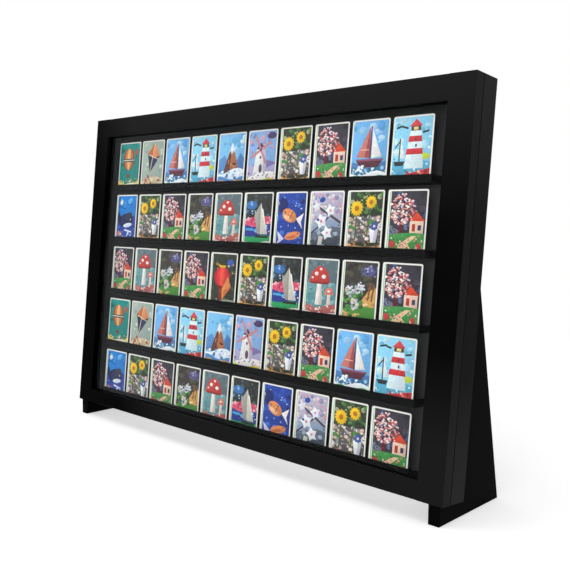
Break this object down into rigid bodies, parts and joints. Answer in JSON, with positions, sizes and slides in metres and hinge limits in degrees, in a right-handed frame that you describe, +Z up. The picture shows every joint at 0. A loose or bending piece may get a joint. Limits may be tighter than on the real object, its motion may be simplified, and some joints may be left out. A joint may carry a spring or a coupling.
{
  "type": "trading card display case",
  "caption": "Free-standing display case that leans back on two legs, with a hinged glazed door over grooved ledges of trading cards.",
  "frame": {"origin": "centre of the footprint, on the surface that the legs stand on", "axes": "+X to the right as seen from the front, +Y from the front to the back, +Z up"},
  "size_m": [0.8114, 0.158, 0.5737],
  "materials": {
    "black_wood": "satin black lacquer",
    "glazing": "clear acrylic, polished",
    "cards": "coated, semi-gloss",
    "hinges": "black",
    "screws": "black",
    "magnets": "nickel plated",
    "strikes": "zinc plated"
  },
  "bodies": {
    "case": {"case_left_side": "black_wood", "case_right_side": "black_wood", "case_top": "black_wood", "case_bottom": "black_wood", "back_panel": "black_wood", "back_panel_screws": "screws", "shelf_1": "black_wood", "shelf_2": "black_wood", "shelf_3": "black_wood", "shelf_4": "black_wood", "shelf_5": "black_wood", "shelf_screws": "screws", "left_leg": "black_wood", "right_leg": "black_wood", "leg_screws": "screws", "upper_hinge_case_leaf": "hinges", "lower_hinge_case_leaf": "hinges", "upper_hinge_pin": "hinges", "lower_hinge_pin": "hinges", "hinge_case_screws": "screws", "catch_magnets": "magnets", "card_row_1": "cards", "card_row_2": "cards", "card_row_3": "cards", "card_row_4": "cards", "card_row_5": "cards"},
    "door": {"door_top_rail": "black_wood", "door_bottom_rail": "black_wood", "door_left_stile": "black_wood", "door_right_stile": "black_wood", "door_glazing": "glazing", "glazing_stop_top": "black_wood", "glazing_stop_bottom": "black_wood", "glazing_stop_left": "black_wood", "glazing_stop_right": "black_wood", "stop_brads": "screws", "upper_hinge_door_leaf": "hinges", "lower_hinge_door_leaf": "hinges", "hinge_door_screws": "screws", "strike_plates": "strikes"}
  },
  "joints": [
    {"name": "door_hinge", "type": "hinge", "parent": "case", "child": "door", "pos_m": [-0.4031, -0.03452, 0.29905], "axis": [0, -0.0924, -0.9957], "range_deg": [0, 180]}
  ]
}
